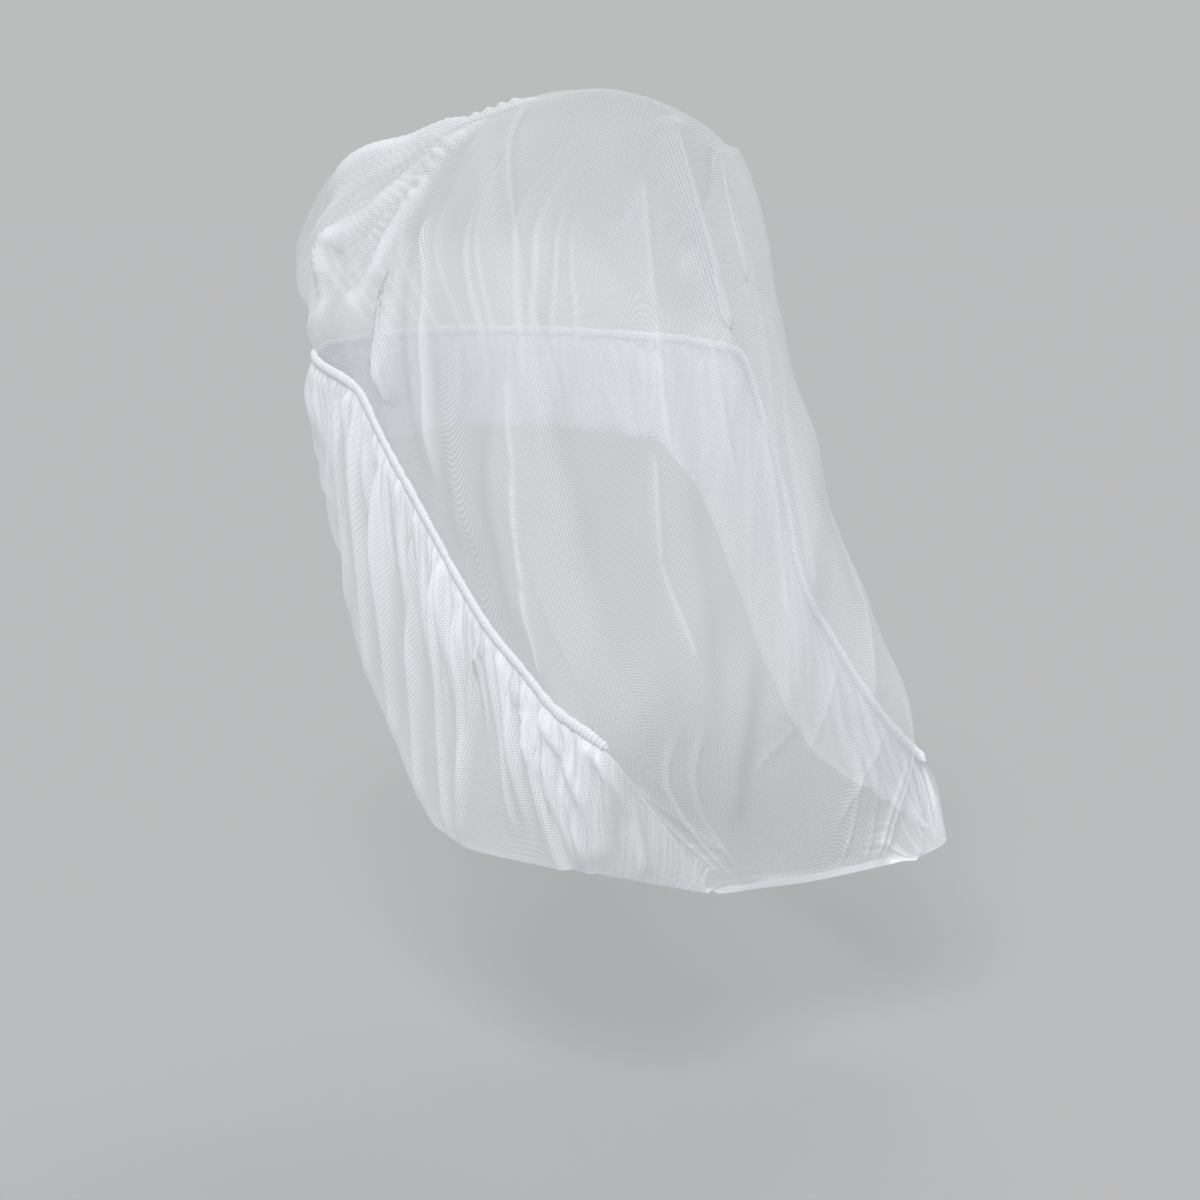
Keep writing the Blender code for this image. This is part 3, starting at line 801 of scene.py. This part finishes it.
def casing_line(patches):
    """The line of the gathered edge in even steps, smoothed, and the length at each step."""
    near = edge_of(patches[1], 0)
    near_corner = edge_of(patches[4], 0)
    back = patches[3].points.reshape(*patches[3].shape, 3)[-1]
    near_back = patches[4].points.reshape(*patches[4].shape, 3)[-1]
    far_back = patches[5].points.reshape(*patches[5].shape, 3)[-1]
    far_corner = edge_of(patches[5], -1)
    far = edge_of(patches[2], -1)
    start = int(np.argmax(patches[1].stations >= GATHER_START))
    near_half = [near[start:], near_corner, near_back]
    far_half = [far_back, far_corner[::-1], far[start:][::-1]]
    line = np.concatenate([*near_half, back, *far_half])
    steps = np.linalg.norm(np.diff(line, axis=0), axis=1)
    line = line[np.concatenate([[True], steps > 1e-5])]
    lengths = np.concatenate([[0], np.cumsum(np.linalg.norm(np.diff(line, axis=0), axis=1))])
    even = np.arange(0, lengths[-1], CASING_STEP)
    path = np.stack([np.interp(even, lengths, line[:, k]) for k in range(3)], axis=1)
    kernel = np.hanning(25)
    kernel /= kernel.sum()
    for k in range(3):
        padded = np.pad(path[:, k], 12, mode="edge")
        path[:, k] = np.convolve(padded, kernel, mode="valid")
    return path, even


def edge_of(patch, column):
    return patch.points.reshape(*patch.shape, 3)[:, column]


def make_casing(name, patches):
    """A flat ruched band: a tube around the gathered edge, drawn into uneven ribs across its length."""
    random = np.random.default_rng(CLOTH_SEED + 1)
    path, even = casing_line(patches)
    run = unit(np.gradient(path, axis=0))
    up = unit(np.array([0.0, 0.0, 1.0]) - run * run[:, 2:])
    side = unit(np.cross(run, up))
    count = len(path)
    drift = np.cumsum(random.normal(0, 0.09, count))
    ribs = 2 * np.abs(np.cos(math.pi * even / RIB_PITCH + drift / 2)) ** 0.6 - 1
    lump_places = np.arange(0, even[-1] + 0.02, LUMP_STEP)
    lumps = np.interp(even, lump_places, random.normal(0, 1, len(lump_places)))
    width = CASING_HALF_WIDTH * (1 + 0.16 * ribs + 0.09 * lumps)
    thick = CASING_HALF_THICK * (1 + 0.34 * ribs + 0.12 * lumps)
    ends = smooth_step(even / CASING_TAPER) * smooth_step((even[-1] - even) / CASING_TAPER)
    width *= 0.15 + 0.85 * ends
    thick *= 0.15 + 0.85 * ends
    turns = np.linspace(0, 2 * math.pi, CASING_SIDES, endpoint=False)
    lean_places = np.arange(0, even[-1] + 0.04, LEAN_STEP)
    lean = 0.10 * np.interp(even, lean_places, random.normal(0, 1, len(lean_places)))
    angles = turns[None] + lean[:, None] * 0.6
    rings = (
        path[:, None]
        + up[:, None] * (CASING_LIFT + (width[:, None] * np.cos(angles))[..., None])
        + side[:, None] * ((thick[:, None] * np.sin(angles))[..., None])
    )
    bpy.ops.object.select_all(action="DESELECT")
    bpy.ops.mesh.primitive_grid_add(x_subdivisions=CASING_SIDES, y_subdivisions=count - 1, size=1)
    casing = bpy.context.object
    casing.name = name
    closed = np.concatenate([rings, rings[:, :1]], axis=1)
    casing.data.vertices.foreach_set("co", closed.ravel())
    corners = np.empty(len(casing.data.loops), dtype=int)
    casing.data.loops.foreach_get("vertex_index", corners)
    around = np.linspace(0, 2 * math.pi * 0.004, CASING_SIDES + 1)
    flat = np.stack([np.tile(around, count), np.repeat(even, CASING_SIDES + 1)], axis=1)
    casing.data.uv_layers[0].name = "cloth"
    casing.data.uv_layers["cloth"].data.foreach_set("uv", flat[corners].ravel())
    bpy.ops.object.mode_set(mode="EDIT")
    bpy.ops.mesh.select_all(action="SELECT")
    bpy.ops.mesh.remove_doubles(threshold=0.00001)
    bpy.ops.mesh.select_all(action="DESELECT")
    bpy.ops.mesh.select_non_manifold()
    bpy.ops.mesh.edge_face_add()
    bpy.ops.mesh.select_all(action="SELECT")
    bpy.ops.mesh.normals_make_consistent(inside=False)
    bpy.ops.object.mode_set(mode="OBJECT")
    bpy.ops.object.shade_smooth()
    return casing


def linear(code):
    """Linear light values of an sRGB hex colour."""
    values = [int(code[k : k + 2], 16) / 255 for k in (0, 2, 4)]
    return tuple(v / 12.92 if v <= 0.04045 else ((v + 0.055) / 1.055) ** 2.4 for v in values) + (1.0,)


def node(tree, kind, inputs=(), **settings):
    """Adds a node with its settings. Inputs are values, or sockets to link from, by name or number."""
    made = tree.nodes.new(kind)
    for name, value in settings.items():
        setattr(made, name, value)
    for key, value in dict(inputs).items():
        socket = made.inputs[key]
        if isinstance(value, bpy.types.NodeSocket):
            tree.links.new(value, socket)
        else:
            socket.default_value = value
    return made


def new_material(name):
    made = bpy.data.materials.new(name)
    made.use_nodes = True
    made.node_tree.nodes.clear()
    return made


TULLE_PITCH = 0.0030
THREAD_COVER = 0.30


def tulle_material():
    """Knitted polyester tulle, undyed: a six-sided mesh of fine threads, milky where it lies in layers."""
    made = new_material("knitted_polyester_tulle")
    tree = made.node_tree
    cloth = node(tree, "ShaderNodeUVMap", uv_map="cloth").outputs["UV"]
    layers = node(tree, "ShaderNodeAttribute", attribute_name="layers").outputs["Fac"]
    # Three sets of waves, 60 degrees apart, leave six-sided holes. The real holes are about 2 mm from thread
    # to thread, and are drawn 3 mm apart so that they show.
    waves = []
    for angle in (0, 60, 120):
        way = Vector((math.cos(math.radians(angle)), math.sin(math.radians(angle)), 0))
        scale = 2 * math.pi / TULLE_PITCH / math.cos(math.radians(30))
        turned = node(
            tree, "ShaderNodeVectorMath", {0: cloth, 1: way * scale}, operation="DOT_PRODUCT"
        ).outputs["Value"]
        waves.append(node(tree, "ShaderNodeMath", {0: turned}, operation="COSINE").outputs[0])
    two_waves = node(tree, "ShaderNodeMath", {0: waves[0], 1: waves[1]}, operation="ADD").outputs[0]
    holes = node(tree, "ShaderNodeMath", {0: two_waves, 1: waves[2]}, operation="ADD").outputs[0]
    threads = node(
        tree,
        "ShaderNodeMapRange",
        {"Value": holes, "From Min": -1.0, "From Max": 0.2, "To Min": 0.52, "To Max": 0.07},
        interpolation_type="SMOOTHSTEP",
    ).outputs["Result"]
    # Fine streaks run down from the gathered edge, where the cloth is drawn together.
    gathers = node(tree, "ShaderNodeUVMap", uv_map="gathers").outputs["UV"]
    streaks = node(
        tree,
        "ShaderNodeTexNoise",
        {"Vector": gathers, "Scale": 1.0, "Detail": 3.0, "Roughness": 0.6},
        noise_dimensions="2D",
    ).outputs["Fac"]
    depth = node(tree, "ShaderNodeSeparateXYZ", {0: gathers}).outputs["Y"]
    strength = node(
        tree,
        "ShaderNodeMapRange",
        {"Value": depth, "From Min": 0.0, "From Max": 1.6, "To Min": 2.6, "To Max": 0.0},
        interpolation_type="SMOOTHSTEP",
    ).outputs["Result"]
    sharp = node(
        tree,
        "ShaderNodeMapRange",
        {"Value": streaks, "From Min": 0.42, "From Max": 0.66, "To Min": 0.0, "To Max": 1.0},
        interpolation_type="SMOOTHSTEP",
    ).outputs["Result"]
    more = node(tree, "ShaderNodeMath", {0: sharp, 1: strength}, operation="MULTIPLY").outputs[0]
    further = node(tree, "ShaderNodeMath", {0: layers, 1: 1.0}, operation="SUBTRACT").outputs[0]
    extra = node(tree, "ShaderNodeMath", {0: further, 1: more}, operation="ADD").outputs[0]
    extra = node(tree, "ShaderNodeMath", {0: extra, 1: 0.0}, operation="MAXIMUM").outputs[0]
    # Each further layer covers its share of what still shows through.
    behind = node(tree, "ShaderNodeMath", {0: 1.0 - THREAD_COVER, 1: extra}, operation="POWER").outputs[0]
    one_open = node(tree, "ShaderNodeMath", {0: 1.0, 1: threads}, operation="SUBTRACT").outputs[0]
    all_open = node(tree, "ShaderNodeMath", {0: one_open, 1: behind}, operation="MULTIPLY").outputs[0]
    cover = node(
        tree, "ShaderNodeMath", {0: 1.0, 1: all_open}, operation="SUBTRACT", use_clamp=True
    ).outputs[0]
    shader = node(
        tree,
        "ShaderNodeBsdfPrincipled",
        {
            "Base Color": linear("F4F6FB"),
            "Roughness": 0.62,
            "Metallic": 0.0,
            "IOR": 1.5,
            "Alpha": cover,
            "Sheen Weight": 0.25,
            "Sheen Roughness": 0.4,
        },
    )
    node(tree, "ShaderNodeOutputMaterial", {"Surface": shader.outputs[0]})
    return made


def casing_material():
    """White polyester casing over elastic: closely woven and matt, and whiter than the net being dense."""
    made = new_material("woven_polyester_casing")
    tree = made.node_tree
    cloth = node(tree, "ShaderNodeUVMap", uv_map="cloth").outputs["UV"]
    # Threads about 0.5 mm apart, drawn 1 mm apart so that they show.
    weave = node(
        tree, "ShaderNodeTexNoise", {"Vector": cloth, "Scale": 900.0, "Detail": 2.0}, noise_dimensions="2D"
    ).outputs["Fac"]
    tint = node(
        tree,
        "ShaderNodeMapRange",
        {"Value": weave, "From Min": 0.3, "From Max": 0.7, "To Min": 0.0, "To Max": 1.0},
    ).outputs["Result"]
    colour = node(
        tree,
        "ShaderNodeMix",
        {"Factor": tint, "A": linear("DFE3EC"), "B": linear("FAFBFF")},
        data_type="RGBA",
    )
    bump = node(
        tree, "ShaderNodeBump", {"Height": weave, "Strength": 0.35, "Distance": 0.0006}
    ).outputs["Normal"]
    shader = node(
        tree,
        "ShaderNodeBsdfPrincipled",
        {
            "Base Color": colour.outputs["Result"],
            "Roughness": 0.7,
            "Metallic": 0.0,
            "Normal": bump,
            "Sheen Weight": 0.3,
            "Sheen Roughness": 0.5,
        },
    )
    node(tree, "ShaderNodeOutputMaterial", {"Surface": shader.outputs[0]})
    return made


def floor_material():
    """Matt pale paper, as in a photo studio."""
    made = new_material("studio_paper")
    shader = node(
        made.node_tree,
        "ShaderNodeBsdfPrincipled",
        {"Base Color": linear("B3B3B4"), "Roughness": 1.0, "Specular IOR Level": 0.0},
    )
    node(made.node_tree, "ShaderNodeOutputMaterial", {"Surface": shader.outputs[0]})
    return made


def dress(piece, finish):
    piece.data.materials.clear()
    piece.data.materials.append(finish)


def make_net():
    patches = cut_patches()
    rim = Rim()
    folds = gather_folds(rim)
    random = np.random.default_rng(CLOTH_SEED + 2)
    bands = list(BANDS) + fan_bands(random, NEAR_FAN_PLEATS, True) + fan_bands(random, FAR_FAN_PLEATS, False)
    bands += back_bands(random, BACK_PLEATS) + hem_bands(random)
    for patch in patches:
        add_soft_folds(patch)
        add_pleats(patch)
        add_creases(patch)
        for start_width, end_width, strength, height, stops in bands:
            add_band(patch, start_width, end_width, strength, height, stops)
        add_waver(patch)
        add_gathers(patch, rim, folds)
        add_hem(patch, rim)
        pairs = gather_places(patch, rim)
        depths = np.array([depth for _, depth in pairs])
        nearest = depths.argmin(axis=0)
        rim_place = np.array([place for place, _ in pairs])[nearest, np.arange(len(nearest))]
        patch.gathers = np.stack([rim_place / STREAK_WIDTH, depths.min(axis=0) / STREAK_LENGTH], axis=1)
    net = sheet_from("net_tulle", patches)
    face_outward(net, patches)
    dress(net, tulle_material())
    casing = make_casing("casing_ruched", patches)
    dress(casing, casing_material())
    return net, casing


def make_camera():
    bpy.ops.object.camera_add(location=CAMERA_PLACE)
    camera = bpy.context.object
    look = Vector(CAMERA_TARGET) - Vector(CAMERA_PLACE)
    camera.rotation_euler = look.to_track_quat("-Z", "Y").to_euler()
    camera.data.lens = CAMERA_LENS
    camera.data.sensor_width = 36.0
    camera.data.shift_y = CAMERA_RISE
    bpy.context.scene.camera = camera


def add_sun(name, place, strength, softness):
    bpy.ops.object.light_add(type="SUN", location=place)
    sun = bpy.context.object
    sun.name = name
    sun.rotation_euler = (-Vector(place)).to_track_quat("-Z", "Y").to_euler()
    sun.data.energy = strength
    sun.data.angle = math.radians(softness)


def make_studio():
    bpy.ops.object.select_all(action="DESELECT")
    bpy.ops.mesh.primitive_plane_add(size=FLOOR_SIDE, location=(0, 0, 0))
    floor = bpy.context.object
    floor.name = "studio_floor"
    for corner in floor.data.vertices:
        corner.co.z = FLOOR_LEVEL
    dress(floor, floor_material())
    # The room behind is as bright as the lit floor, so no edge shows between them.
    world = bpy.data.worlds.new("studio")
    world.use_nodes = True
    sky = world.node_tree.nodes["Background"]
    sky.inputs["Color"].default_value = linear("BBBCBC")
    sky.inputs["Strength"].default_value = 1.0
    bpy.context.scene.world = world
    add_sun("key_light", (-2.4, -2.6, 3.6), 1.75, 30)
    add_sun("back_light", (2.2, 2.4, 2.6), 1.05, 40)


def main():
    make_camera()
    make_studio()
    net, casing = make_net()
    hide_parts("net")
    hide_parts("elastic_casing")
    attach(net, "root")
    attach(casing, "root")
    bpy.context.scene.view_settings.view_transform = "Standard"
    bpy.context.scene.cycles.transparent_max_bounces = 32


main()
